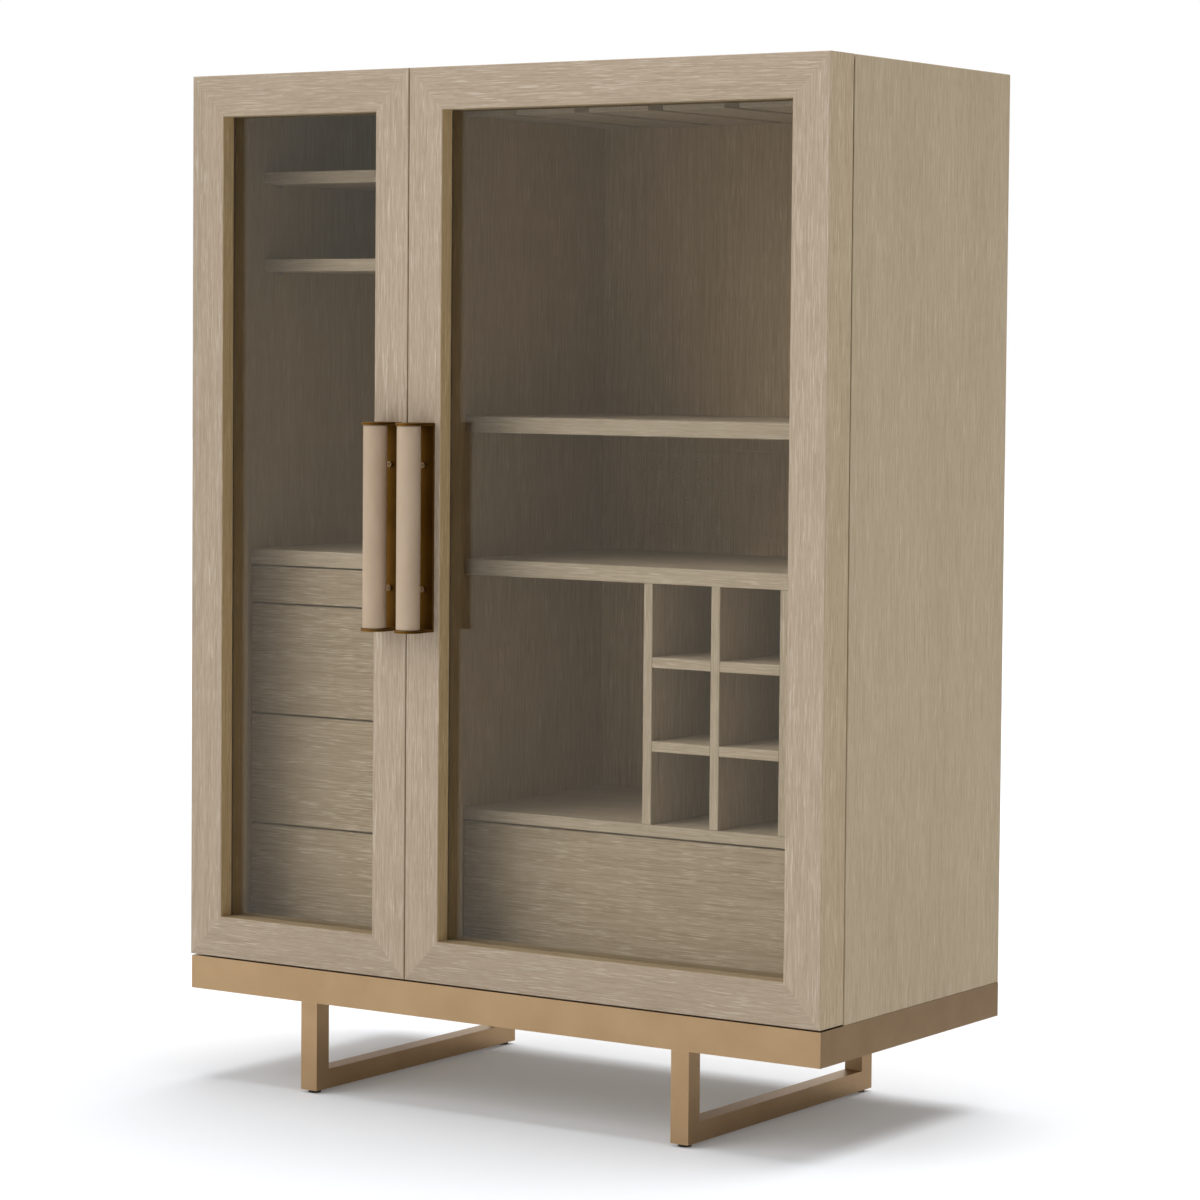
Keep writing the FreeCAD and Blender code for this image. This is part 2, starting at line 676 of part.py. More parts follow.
def handle(side, centre):
    middle = "door_bottom + door_height / 2"
    low = f"{middle} - handle_height / 2"
    axis_depth = "door_front - handle_axis_reach"
    half = "handle_plate_width / 2"
    bracket = new_body(f"{side}_handle_frame", (centre, "door_front", low))
    box(bracket, "Additive", "Plate", ("handle_plate_width", "handle_plate_thickness", "handle_height"),
        (f"-{half}", "-handle_plate_thickness", "0"))
    for level in ("0", "handle_height - handle_flange_thickness"):
        box(bracket, "Additive", "Flange",
            ("handle_plate_width", "handle_axis_reach", "handle_flange_thickness"),
            (f"-{half}", "-handle_axis_reach", level))
        rod(bracket, "Additive", "FlangeEnd", half, "handle_flange_thickness",
            ("0", "-handle_axis_reach", level))
    for offset in handle_screw_offsets():
        rod(bracket, "Subtractive", "ScrewHole", "handle_screw_diameter / 2 + pin_fit",
            "handle_plate_thickness + 2 * cut_overrun",
            ("handle_screw_shift", "cut_overrun", f"handle_height / 2 + {offset}"), ALONG_MINUS_Y)
    grip_length = "handle_height - 2 * handle_flange_thickness"
    core = new_body(f"{side}_handle_core", (centre, axis_depth, f"{low} + handle_flange_thickness"))
    rod(core, "Additive", "Core", "grip_core_diameter / 2", grip_length)
    keep_group(f"{side}_handle_bracket", [bracket, core])
    sleeve = new_body(f"{side}_handle_leather",
                      (centre, axis_depth, f"{low} + handle_flange_thickness + grip_end_play"))
    rod(sleeve, "Additive", "Wrap", "grip_diameter / 2", f"{grip_length} - 2 * grip_end_play")
    rod(sleeve, "Subtractive", "Bore", "grip_core_diameter / 2 + pin_fit",
        "handle_height + 2 * cut_overrun", ("0", "0", "-cut_overrun"))
    keep(sleeve)
    screws = []
    for offset in handle_screw_offsets():
        screw = new_body(f"{side}_handle_screw",
                         (f"{centre} + handle_screw_shift", "door_front - handle_plate_thickness",
                          f"{middle} + {offset}"))
        rod(screw, "Additive", "Shank", "handle_screw_diameter / 2", "handle_screw_length", turn=ALONG_Y)
        rod(screw, "Additive", "Head", "handle_screw_head_diameter / 2", "handle_screw_head_height",
            turn=ALONG_MINUS_Y)
        socket = screw.newObject("PartDesign::SubtractivePrism", "Socket")
        socket.Polygon = 6
        bind(socket, Circumradius="handle_screw_socket_width / 2",
             Height="handle_screw_socket_depth + cut_overrun")
        put(socket, ("0", "handle_screw_socket_depth - handle_screw_head_height", "0"), ALONG_MINUS_Y)
        screws.append(screw)
    keep_group(f"{side}_handle_screws", screws)


handle("left", "left_door_right - stile_width / 2")
handle("right", "right_door_left + stile_width / 2")

# Continuous hinges in the seams between the doors and the case


def hinge_leaf(label, axis, inward, plate_depth, first, count):
    """A leaf with every second knuckle; inward is + or - along X, plate_depth the plate's front face."""
    body = new_body(label, (axis, "hinge_axis_depth", "hinge_bottom"))
    pitch = f"hinge_length / {HINGE_KNUCKLES}"
    level = f"{first} * {pitch} + hinge_knuckle_gap / 2"
    knuckle_length = f"{pitch} - hinge_knuckle_gap"
    plate_end = "hinge_leaf_start + hinge_leaf_width"
    plate_left = "hinge_leaf_start" if inward == "+" else f"-({plate_end})"
    box(body, "Additive", "Plate", ("hinge_leaf_width", "hinge_leaf_thickness", "hinge_length"),
        (plate_left, plate_depth, "0"))
    tab_left = "0" if inward == "+" else f"-({plate_end})"
    tab = box(body, "Additive", "Tab", (plate_end, "hinge_leaf_thickness", knuckle_length),
              (tab_left, plate_depth, level))
    knuckle = rod(body, "Additive", "Knuckle", "hinge_barrel_diameter / 2", knuckle_length, ("0", "0", level))
    doc.recompute()
    row = body.newObject("PartDesign::LinearPattern", "KnuckleRow")
    row.Originals = [tab, knuckle]
    upward = [item for item in body.Origin.OriginFeatures if item.Role == "Z_Axis"][0]
    row.Direction = (upward, [""])
    row.Occurrences = count
    bind(row, Length=f"{2 * (count - 1)} * {pitch}")
    body.Tip = row
    doc.recompute()
    rod(body, "Subtractive", "Bore", "hinge_pin_diameter / 2 + pin_fit", "hinge_length + 2 * cut_overrun",
        ("0", "0", "-cut_overrun"))
    return keep(body)


HINGES = {"left": ("outer_left + hinge_axis_inset", "+"), "right": ("outer_right - hinge_axis_inset", "-")}
case_plate = "hinge_seam / 2 - hinge_leaf_thickness"
door_plate = "-hinge_seam / 2"
hinge_pins = []
for hand, (axis_place, inward_sign) in HINGES.items():
    hinge_leaf(f"{hand}_hinge_case_leaf", axis_place, inward_sign, case_plate, 0, HINGE_KNUCKLES // 2 + 1)
    hinge_leaf(f"{hand}_hinge_door_leaf", axis_place, inward_sign, door_plate, 1, HINGE_KNUCKLES // 2)
    hinge_pin = new_body(f"{hand}_hinge_pin", (axis_place, "hinge_axis_depth", "hinge_bottom"))
    rod(hinge_pin, "Additive", "Pin", "hinge_pin_diameter / 2", "hinge_length")
    hinge_pins.append(hinge_pin)
keep_group("hinge_pins", hinge_pins)

# Metal base: an apron of four mitred tubes on two sled legs


def tube(label, length, width, height, start_run, end_run, place, turn):
    """A mitred rectangular tube: X along it, Y from its outer to its inner face, open at the mitres."""
    body = new_body(label, place, turn)
    mitre(body, "Additive", "Outside", length, start_run, end_run, "0", width, height)
    share = f"tube_wall / ({width})"
    inner_length = f"{length} - ({start_run} + ({end_run})) * {share}"
    inner_runs = [f"({run}) * (1 - 2 * {share})" for run in (start_run, end_run)]
    mitre(body, "Subtractive", "Inside", inner_length, *inner_runs, "tube_wall", f"{width} - tube_wall",
          f"{height} - 2 * tube_wall", "tube_wall", f"({start_run}) * {share}")
    return body


# Each rail's length, the place of its outer corner, and the directions along and into it.
APRON_RAILS = {
    "base_front_rail": ("cabinet_width", ("outer_left", "apron_front"), (1, 0), (0, 1)),
    "base_rear_rail": ("cabinet_width", ("outer_right", "case_rear"), (-1, 0), (0, -1)),
    "base_left_rail": ("apron_depth", ("outer_left", "case_rear"), (0, -1), (1, 0)),
    "base_right_rail": ("apron_depth", ("outer_right", "apron_front"), (0, 1), (-1, 0)),
}


def apron_rail(label, length, corner, along, inward):
    """One side of the apron, with holes for its screws and for the driver that turns them."""
    width = "apron_rail_width"
    body = tube(label, length, width, "apron_height", width, width, (*corner, "apron_bottom"),
                axes((*along, 0), (*inward, 0), (0, 0, 1)))
    for across, depth in base_screw_places(label):
        run = f"({across} - ({corner[0]})) * {along[0]} + ({depth} - ({corner[1]})) * {along[1]}"
        through = "tube_wall + 2 * cut_overrun"
        rod(body, "Subtractive", "ScrewHole", "base_screw_diameter / 2 + pin_fit", through,
            (run, f"{width} / 2", "apron_height - tube_wall - cut_overrun"))
        rod(body, "Subtractive", "AccessHole", "base_screw_access_diameter / 2", through,
            (run, f"{width} / 2", "-cut_overrun"))
    return keep(body)


for rail_name, rail_values in APRON_RAILS.items():
    apron_rail(rail_name, *rail_values)


def sled_leg(side, left):
    """A runner bar along the depth with a post at each end, mitred together."""
    right = f"{left} + leg_bar"
    runner = tube(f"{side}_leg_runner", "apron_depth", "leg_bar", "leg_bar", "leg_bar", "leg_bar",
                  (left, "apron_front", "glide_height"), axes((0, 1, 0), (0, 0, 1), (1, 0, 0)))
    front = tube(f"{side}_leg_front_post", "leg_rise", "leg_bar", "leg_bar", "leg_bar", "0",
                 (right, "apron_front", "glide_height"), axes((0, 0, 1), (0, 1, 0), (-1, 0, 0)))
    rear = tube(f"{side}_leg_rear_post", "leg_rise", "leg_bar", "leg_bar", "leg_bar", "0",
                (left, "case_rear", "glide_height"), axes((0, 0, 1), (0, -1, 0), (1, 0, 0)))
    return keep_group(f"{side}_sled_leg", [runner, front, rear])


LEG_LEFTS = {"left": "outer_left + leg_inset", "right": "outer_right - leg_inset - leg_bar"}
for hand, leg_left in LEG_LEFTS.items():
    sled_leg(hand, leg_left)


def floor_glides():
    """A round glide under each end of the runner bars."""
    glides = []
    for leg_left in LEG_LEFTS.values():
        for depth in ("apron_front + leg_bar / 2", "case_rear - leg_bar / 2"):
            glide = new_body("floor_glide", (f"{leg_left} + leg_bar / 2", depth, "0"))
            rod(glide, "Additive", "Foot", "glide_diameter / 2", "glide_height")
            glides.append(glide)
    return keep_group("floor_glides", glides)


floor_glides()


def base_screws():
    """Screws inside the apron tubes, up through the top wall into the case."""
    screws = []
    for rail in APRON_RAILS:
        for across, depth in base_screw_places(rail):
            screw = new_body("base_screw", (across, depth, "case_bottom - tube_wall"))
            rod(screw, "Additive", "Shank", "base_screw_diameter / 2", "base_screw_length")
            rod(screw, "Additive", "Head", "base_screw_head_diameter / 2", "base_screw_head_height",
                ("0", "0", "-base_screw_head_height"))
            screws.append(screw)
    return keep_group("base_screws", screws)


base_screws()

# Build, test and write every sub-part

doc.recompute()
for item in doc.Objects:
    if "Invalid" in item.State or "Error" in item.State:
        raise RuntimeError(f"{item.Label} failed: {item.State}")
for part in sub_parts:
    if part.Shape.isNull() or not part.Shape.isValid() or not part.Shape.Solids:
        raise RuntimeError(f"{part.Label} has no valid solid")
os.makedirs("parts", exist_ok=True)
for part in sub_parts:
    part.Shape.exportStep(f"parts/{part.Label}.step")
print(len(sub_parts), "sub-parts,", sum(len(part.Shape.Solids) for part in sub_parts), "solids")
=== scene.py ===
import math

import bmesh
import bpy
from mathutils import Matrix, Vector


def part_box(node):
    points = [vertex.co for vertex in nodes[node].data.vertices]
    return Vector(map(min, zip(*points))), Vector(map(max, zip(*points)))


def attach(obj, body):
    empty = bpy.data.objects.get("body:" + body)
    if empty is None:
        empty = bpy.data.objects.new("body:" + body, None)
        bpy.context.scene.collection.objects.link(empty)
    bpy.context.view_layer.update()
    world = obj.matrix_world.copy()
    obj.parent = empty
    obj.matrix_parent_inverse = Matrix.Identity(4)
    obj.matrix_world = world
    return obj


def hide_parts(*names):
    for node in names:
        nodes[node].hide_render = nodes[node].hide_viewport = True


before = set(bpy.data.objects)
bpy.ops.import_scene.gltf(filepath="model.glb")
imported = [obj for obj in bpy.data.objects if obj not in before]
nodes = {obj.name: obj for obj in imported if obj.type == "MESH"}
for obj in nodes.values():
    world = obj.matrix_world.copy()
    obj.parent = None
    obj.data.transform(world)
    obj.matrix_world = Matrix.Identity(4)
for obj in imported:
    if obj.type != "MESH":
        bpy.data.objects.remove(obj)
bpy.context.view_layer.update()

# Lengths are in metres, angles in degrees, colours linear red, green and blue.
FULL_TURN = 360.0
# A camera or lamp that isn't tilted looks straight down, and this far from there it looks level.
LEVEL_TILT = 90.0
# Directions along Y.
FORWARD = -1
BACKWARD = 1

# Ranges and marks that all materials share. Most of a layer of noise lies in its range.
UNIT_RANGE = (0.0, 1.0)
NOISE_RANGE = (0.3, 0.7)
NOISE_MIDDLE = (0.5, 0.5, 0.5)
RAMP_MIDDLE = 0.5
# Sockets of a Mix node that take and give vectors.
MIX_VECTOR_FIRST = 4
MIX_VECTOR_SECOND = 5
MIX_VECTOR_RESULT = 1
# Light that hasn't bounced yet has a depth below this.
FIRST_BOUNCE = 0.5

# Layers of noise: features per metre along the grain and across it, step of the seed, and detail.
WOOD_WANDER = (7.0, 7.0, 0.0, 1.0)
WOOD_LINES = (9.0, 520.0, 0.0, 3.0)
WOOD_PORES = (26.0, 680.0, 7.3, 1.0)
WOOD_PATCHES = (9.0, 48.0, 3.1, 2.0)
WOOD_BANDS = (0.9, 11.0, 5.7, 2.0)
WOOD_FINE = (55.0, 2300.0, 9.1, 2.0)
METAL_CLOUD = (14.0, 14.0, 0.0, 4.0)
METAL_GRIT = (900.0, 900.0, 2.0, 2.0)
HIDE_CLOUD = (9.0, 22.0, 0.0, 3.0)
HIDE_FINE = (420.0, 420.0, 1.0, 3.0)
PLASTIC_GRAIN = (1400.0, 1400.0, 0.0, 2.0)
PLASTIC_CLOUD = (90.0, 90.0, 4.0, 2.0)
GLASS_WAVE = (3.0, 3.0, 0.0, 1.0)
GLASS_FILM = (45.0, 45.0, 2.0, 3.0)

# Oak, brushed and filled with a whitish wax that stays in the wider pores.
# Dark lines, ground, pale lines and wax, the same for the birch below.
OAK_COLOURS = [(0.372, 0.292, 0.203), (0.446, 0.354, 0.256), (0.492, 0.399, 0.296), (0.800, 0.710, 0.590)]
# The doors' rails are painted a shade darker than their stiles, as painted shade: the stiles catch a little
# more light.
STILE_PAINTED_LIGHT = (1.01, 1.0, 1.0)
RAIL_PAINTED_SHADE = (0.965, 0.955, 0.955)
# The case's veneer is painted a little yellower than the doors' solid wood, as painted warm light from the
# side, and browner inside.
CASE_WARM_LIGHT_TINT = (1.03, 1.02, 0.93)
INSIDE_TINT = (1.00, 0.915, 0.74)
# Shelves are paler, and the drawers' fronts a little darker and yellower.
SHELF_TINT = (1.155, 1.20, 1.23)
FRONT_TINT = (0.97, 0.965, 0.93)
# Boards by the look of their oak: tint, how much the lines stand out, and how much wax they hold.
OAK_LOOKS = {
    "stile": (STILE_PAINTED_LIGHT, 0.80, 0.38),
    "rail": (RAIL_PAINTED_SHADE, 0.70, 0.38),
    "front": (FRONT_TINT, 1.4, 0.60),
    "shelf": (SHELF_TINT, 0.80, 0.35),
    "inside": (INSIDE_TINT, 1.10, 0.35),
    "case": (CASE_WARM_LIGHT_TINT, 0.75, 0.26),
}
# Edges of the doors are painted yellower than their faces, as painted warm light from the side. Round the
# glass they are browner: painted warm bounce light on the stiles, painted shade on the rails. Behind the
# glass they are darker, as painted shade.
DOOR_EDGE_WARM_LIGHT = (1.04, 1.02, 0.90)
STILE_INNER_BOUNCE_LIGHT = (1.12, 1.02, 0.82)
RAIL_INNER_SHADE = (0.84, 0.80, 0.70)
BEHIND_GLASS_SHADE = (0.72, 0.76, 0.84)
BEHIND_GLASS_STEP = 0.001
# A face counts as an edge where it looks little to the front or back,
# and as an inner edge where it looks towards the glass.
EDGE_FACING = (0.8, 0.3)
INNER_FACING = (0.5, 0.9)
# The way to the glass from each member of a door, by the end of its name.
TOWARDS_GLASS = {
    "left_door_hinge_stile": (1, 0, 0),
    "left_door_meeting_stile": (-1, 0, 0),
    "right_door_hinge_stile": (-1, 0, 0),
    "right_door_meeting_stile": (1, 0, 0),
    "door_top_rail": (0, 0, -1),
    "door_bottom_rail": (0, 0, 1),
}

# Plain birch of the drawer boxes and their runners.
BIRCH_COLOURS = [(0.430, 0.340, 0.225), (0.500, 0.405, 0.280), (0.550, 0.450, 0.320), (0.570, 0.475, 0.350)]
BIRCH_WAX_SHARE = 0.15
DRAWER_BOARD = 0.012

# Grain of both woods. Lines wander by up to about a millimetre.
WANDER_REACH = 0.0015
LINE_STOPS = (0.30, 0.50, 0.72)
PORE_EDGE = (0.55, 0.66)
PATCH_EDGE = (0.38, 0.62)
PATCH_SHARES = (0.35, 1.0)
BAND_SHADES = [(0.30, (0.965, 0.965, 0.96)), (0.70, (1.03, 1.03, 1.035))]
FINE_PORE_SHADES = [(0.34, (0.86, 0.84, 0.81)), (0.47, (1.02, 1.02, 1.02))]
WOOD_ROUGHNESS = (0.66, 0.52)
WOOD_BUMP = 0.00025
PORE_HEIGHT_SHARE = 0.5
FINE_HEIGHT_SHARE = 0.4
WOOD_SPECULAR = 0.22
# Each board has a seed of its own, and neighbours differ in lightness by a small share.
FIRST_BOARD_SEED = 1.0
BOARD_SEED_STEP = 11.7
BOARD_TONE_SHARE = 0.035
BOARD_TONE_TURN = 2.4

DRAWERS = ("bar_tray", "left_upper_drawer", "left_middle_drawer", "left_lower_drawer", "right_drawer")
# Oak boards, by the way their grain runs.
OAK_BOARDS = {
    "X": [
        "top_panel", "bottom_panel", "bar_shelf", "bottle_shelf", "left_lower_shelf", "left_upper_shelf",
        "right_lower_shelf", "right_upper_shelf", "cubby_rows", "stemware_battens",
        *(drawer + "_front" for drawer in DRAWERS),
        "left_door_top_rail", "left_door_bottom_rail", "right_door_top_rail", "right_door_bottom_rail",
    ],
    "Y": ["stemware_boards"],
    "Z": [
        "left_side_panel", "right_side_panel", "centre_divider", "back_panel", "rear_access_cover",
        "cubby_partitions", "left_door_hinge_stile", "left_door_meeting_stile",
        "right_door_hinge_stile", "right_door_meeting_stile",
    ],
}

# Metals: dark and light patina, roughness and seed.
METALS = {
    "satin_brass": ((0.418, 0.280, 0.155), (0.461, 0.314, 0.179), 0.42, 0.0),
    "dark_brass": ((0.130, 0.058, 0.006), (0.185, 0.086, 0.013), 0.60, 5.0),
    "bright_brass": ((0.290, 0.185, 0.095), (0.390, 0.260, 0.140), 0.40, 7.0),
    "hinge_brass": ((0.340, 0.240, 0.125), (0.420, 0.310, 0.170), 0.42, 9.0),
    "bright_steel": ((0.42, 0.42, 0.42), (0.56, 0.56, 0.55), 0.30, 3.0),
    "hinge_screw_steel": ((0.30, 0.24, 0.15), (0.42, 0.34, 0.22), 0.30, 13.0),
}
METAL_CLOUD_STOPS = (0.35, 0.68)
METAL_ROUGHNESS_SPREAD = 0.06
METAL_BUMP = 0.00003
# Edges are rubbed lighter than the patina, and those of the dark brackets down to the brass: partly wear,
# partly a painted highlight along the edges.
# A face is rubbed the more, the less it looks the way that it would with its edges rounded.
RUB_WIDTH = 0.0012
RUB_SAMPLES = 4
RUB_FACING = (0.99, 0.85)
RUB_AND_HIGHLIGHT_SHARE = 0.35
RUB_AND_HIGHLIGHT_GAIN = 1.25
WORN_AND_HIGHLIGHT_SHARE = 0.8
BRACKET_WORN_AND_HIGHLIGHT_COLOUR = (0.420, 0.270, 0.110)
BRACKET_WORN_WIDTH = 0.0020

# Pale tan hide, creased round cells so many to the metre.
HIDE_SEED = 1.0
HIDE_COLOURS = ((0.480, 0.352, 0.235), (0.560, 0.425, 0.298))
HIDE_CELLS = 750.0
HIDE_CREASE = (0.0, 0.12)
HIDE_CREASE_COLOUR = (0.33, 0.23, 0.15)
HIDE_CREASE_SHARES = (0.16, 0.0)
HIDE_ROUGHNESS = (0.46, 0.60)
HIDE_FINE_HEIGHT_SHARE = 0.6
HIDE_BUMP = 0.00008
HIDE_SPECULAR = 0.4

# Linen thread. The larger its twist, the finer its plies.
THREAD_COLOURS = ((0.36, 0.27, 0.18), (0.58, 0.47, 0.34))
THREAD_TWIST = 900.0
THREAD_UNEVENNESS = 1.5
THREAD_ROUGHNESS = (0.75, 0.6)
THREAD_BUMP = 0.0001

# Black plastic of the floor glides.
PLASTIC_COLOURS = ((0.010, 0.010, 0.011), (0.020, 0.020, 0.021))
PLASTIC_ROUGHNESS = (0.45, 0.62)
PLASTIC_BUMP = 0.00004

# Smoked glass, with a faint film and a faint wave.
GLASS_TINT = (0.915, 0.902, 0.868)
GLASS_SHEEN_TINT = (1.0, 0.93, 0.78)
GLASS_IOR = 1.37
GLASS_FILM_SHARE = 0.99
GLASS_FILM_STOPS = (0.2, 0.8)
GLASS_ROUGHNESS = (0.0, 0.015)
GLASS_BUMP = 0.0004
GLASS_BUMP_STRENGTH = 0.2

# Photograph's camera.
CAMERA_PLACE = (3.33755, -4.93883, 1.18420)
CAMERA_TURN = 33.7615
CAMERA_TILT = 2.9645
CAMERA_ROLL = 0.475
CAMERA_LENS_MM = 114.459
CAMERA_SENSOR_MM = 36.0
CAMERA_SHIFT_Y = -0.05

# Studio.
SKY_STRENGTH = 0.43
WHITE_STRENGTH = 1.0
# Reflections find the studio white on the left and unlit on the right.
UNLIT_STRENGTH = 0.05
UNLIT_RANGE = (-0.45, 0.35)
# Each lamp: strength, softness, turn from the front (minus is left) and height above the floor.
LAMPS = {
    "key": (1.05, 48.0, -38.0, 32.0),
    "top": (2.25, 42.0, 167.0, 79.0),
}
FLOOR_SIZE = 60.0
FLOOR_COLOUR = (0.83, 0.85, 0.88)
FLOOR_GLOW = 0.10
# Reflections find the floor darker than it is, most of all from about the object's right side on.
FLOOR_MIRRORED = 0.70
FLOOR_UNLIT = 0.34
FLOOR_UNLIT_RANGE = (0.50, 0.95)
CAMERA_REACH = 4 * FLOOR_SIZE

# Leather sleeves of the handles, sewn down their backs.
SLEEVE_SIDES = 72
SLEEVE_EDGE_RADIUS = 0.0014
SLEEVE_EDGE_STEPS = 5
SLEEVE_RINGS = 60
SEAM_DEPTH = 0.0007
SEAM_HALF_ANGLE = 7.0
STITCH_MARGIN = 2 * SLEEVE_EDGE_RADIUS
STITCH_PITCH = 0.0075
STITCH_HALF_ANGLE = 9.0
STITCH_SLANT = 0.0022
STITCH_RADIUS = 0.00045
STITCH_SIDES = 8
STITCH_STEPS = 8
# A stitch dips and tapers towards its ends, the faster the higher the power.
STITCH_DIP_SHARE = 2.2
STITCH_DIP_POWER = 4
STITCH_TAPER_POWER = 6
STITCH_END_SHARE = 0.04

# Countersunk screws in the hinge leaves. Rings of a head and its recess are shares of its radius.
HINGE_LEAF_WIDTH = 0.018
HINGE_LEAF_THICKNESS = 0.0007
HINGE_SCREWS = 12
SCREW_RADIUS = 0.0026
SCREW_SIDES = 24
SCREW_PROUD = 0.0001
SCREW_DOME_POWER = 4
SCREW_RING_SHARES = (1.0, 0.96, 0.80, 0.58, 0.52, 0.30, 0.22)
RECESS_DEPTH = 0.0006
RECESS_ARM_SHARE = 0.55
RECESS_MIDDLE_SHARE = 0.25
RECESS_ARM_COSINE = 0.7


def add(tree, kind, inputs, **settings):
    """Adds a node. Settings are its properties, inputs are plain values or outputs of other nodes."""
    node = tree.nodes.new("ShaderNode" + kind)
    for name, value in settings.items():
        setattr(node, name, value)
    for name, value in inputs.items():
        if isinstance(value, bpy.types.NodeSocket):
            tree.links.new(value, node.inputs[name])
        else:
            node.inputs[name].default_value = value
    return node


def opaque(colour):
    return (*colour, 1.0)


def tinted(colour, tint):
    return tuple(part * share for part, share in zip(colour, tint))


def new_tree(name):
    material = bpy.data.materials.new(name)
    material.use_nodes = True
    material.node_tree.nodes.clear()
    return material, material.node_tree


def object_place(tree):
    return add(tree, "TexCoord", {}).outputs["Object"]


def noise(tree, place, layer, seed=0.0, grain="Z"):
    """Noise from 0 to 1, stretched along the grain. Its outputs are a value and a colour."""
    length_scale, width_scale, seed_step, detail = layer
    scale = tuple(length_scale if axis == grain else width_scale for axis in "XYZ")
    start = seed + seed_step
    stretched = add(tree, "Mapping", {"Vector": place, "Scale": scale, "Location": (start, start, start)})
    return add(tree, "TexNoise", {"Vector": stretched.outputs[0], "Scale": 1.0, "Detail": detail})


def remap(tree, value, source, target):
    """Takes a value from one range, low and high, to another."""
    sockets = {"Value": value, "From Min": source[0], "From Max": source[1],
               "To Min": target[0], "To Max": target[1]}
    return add(tree, "MapRange", sockets).outputs[0]


def math_node(tree, operation, first, second):
    return add(tree, "Math", {0: first, 1: second}, operation=operation).outputs[0]


def dot(tree, first, second):
    return add(tree, "VectorMath", {0: first, 1: second}, operation="DOT_PRODUCT").outputs["Value"]


def mix(tree, share, first, second, how="MIX"):
    return add(tree, "MixRGB", {"Fac": share, "Color1": first, "Color2": second}, blend_type=how).outputs[0]


def ramp(tree, value, stops):
    """A colour ramp through (position, colour) stops."""
    node = add(tree, "ValToRGB", {"Fac": value})
    elements = node.color_ramp.elements
    while len(elements) < len(stops):
        elements.new(RAMP_MIDDLE)
    for element, (position, colour) in zip(elements, stops):
        element.position = position
        element.color = opaque(colour)
    return node.outputs[0]


def ramp_through(tree, value, positions, colours):
    return ramp(tree, value, list(zip(positions, colours)))


def finish_surface(tree, colour, roughness, height, depth, **constants):
    """Ends a material in one Principled shader, with its bump as deep as depth."""
    bump = add(tree, "Bump", {"Height": height, "Distance": depth, "Strength": 1.0})
    inputs = {"Base Color": colour, "Roughness": roughness, "Normal": bump.outputs[0], **constants}
    shader = add(tree, "BsdfPrincipled", inputs)
    add(tree, "OutputMaterial", {"Surface": shader.outputs[0]})


def wander(tree, place, seed):
    """Moves a place a little to the side, differently from spot to spot."""
    drift = noise(tree, place, WOOD_WANDER, seed).outputs["Color"]
    centred = add(tree, "VectorMath", {0: drift, 1: NOISE_MIDDLE}, operation="SUBTRACT").outputs[0]
    bend = add(tree, "VectorMath", {0: centred, "Scale": WANDER_REACH}, operation="SCALE").outputs[0]
    return add(tree, "VectorMath", {0: place, 1: bend}, operation="ADD").outputs[0]


def wood(name, grain, seed, palette, wax_share, turn_place=None, paint_edge_light=None):
    """Straight-grained wood with fine lines, wax in short pores and broad tone bands.

    turn_place changes where the grain is looked up, and paint_edge_light paints light and shade onto the
    colour, board by board.
    """
    material, tree = new_tree(name)
    tone = 1.0 + BOARD_TONE_SHARE * math.sin(seed * BOARD_TONE_TURN)
    dark, middle, pale, wax = [tuple(c * tone for c in colour) for colour in palette]
    place = object_place(tree)
    if turn_place:
        place = turn_place(tree, place)
    bent = wander(tree, place, seed)
    lines = noise(tree, bent, WOOD_LINES, seed, grain).outputs[0]
    pores = noise(tree, bent, WOOD_PORES, seed, grain).outputs[0]
    patches = noise(tree, bent, WOOD_PATCHES, seed, grain).outputs[0]
    bands = noise(tree, place, WOOD_BANDS, seed, grain).outputs[0]
    fine = noise(tree, bent, WOOD_FINE, seed, grain).outputs[0]
    ground = ramp_through(tree, lines, LINE_STOPS, (dark, middle, pale))
    # Wax shows in pores, most of all in loose patches.
    in_pores = remap(tree, pores, PORE_EDGE, UNIT_RANGE)
    in_patches = remap(tree, patches, PATCH_EDGE, PATCH_SHARES)
    gathered = math_node(tree, "MULTIPLY", in_pores, in_patches)
    filled = math_node(tree, "MULTIPLY", gathered, wax_share)
    waxed = mix(tree, filled, ground, opaque(wax))
    colour = mix(tree, 1.0, waxed, ramp(tree, bands, BAND_SHADES), "MULTIPLY")
    # Finer pores hold no wax, and are a little darker than the ground.
    colour = mix(tree, 1.0, colour, ramp(tree, fine, FINE_PORE_SHADES), "MULTIPLY")
    # Painted light and shade on the edges, for boards that have it.
    if paint_edge_light:
        colour = paint_edge_light(tree, colour)
    roughness = remap(tree, lines, NOISE_RANGE, WOOD_ROUGHNESS)
    coarse = math_node(tree, "ADD", lines, math_node(tree, "MULTIPLY", pores, PORE_HEIGHT_SHARE))
    height = math_node(tree, "ADD", coarse, math_node(tree, "MULTIPLY", fine, FINE_HEIGHT_SHARE))
    finish_surface(tree, colour, roughness, height, WOOD_BUMP, **{"Specular IOR Level": WOOD_SPECULAR})
    return material


def oak(board, grain, seed):
    """Limed oak with the look of that board."""
    look = oak_look(board)
    tint, contrast, wax_share = OAK_LOOKS[look]
    dark, middle, pale, wax = [tinted(colour, tint) for colour in OAK_COLOURS]
    dark = tuple(m + contrast * (d - m) for m, d in zip(middle, dark))
    pale = tuple(m + contrast * (p - m) for m, p in zip(middle, pale))
    # Door members get painted light and shade on their edges.
    paint_edge_light = painted_door_edge_light(board) if look in ("stile", "rail") else None
    return wood("oak_" + board, grain, seed, [dark, middle, pale, wax], wax_share, paint_edge_light=paint_edge_light)


def oak_look(board):
    """A board's look, told from its name."""
    if board.endswith("_stile"):
        return "stile"
    if board.endswith("_rail"):
        return "rail"
    if board.endswith("_front"):
        return "front"
    if "shelf" in board or "cubby" in board or "stemware" in board:
        return "shelf"
    if board in ("centre_divider", "back_panel", "rear_access_cover"):
        return "inside"
    return "case"


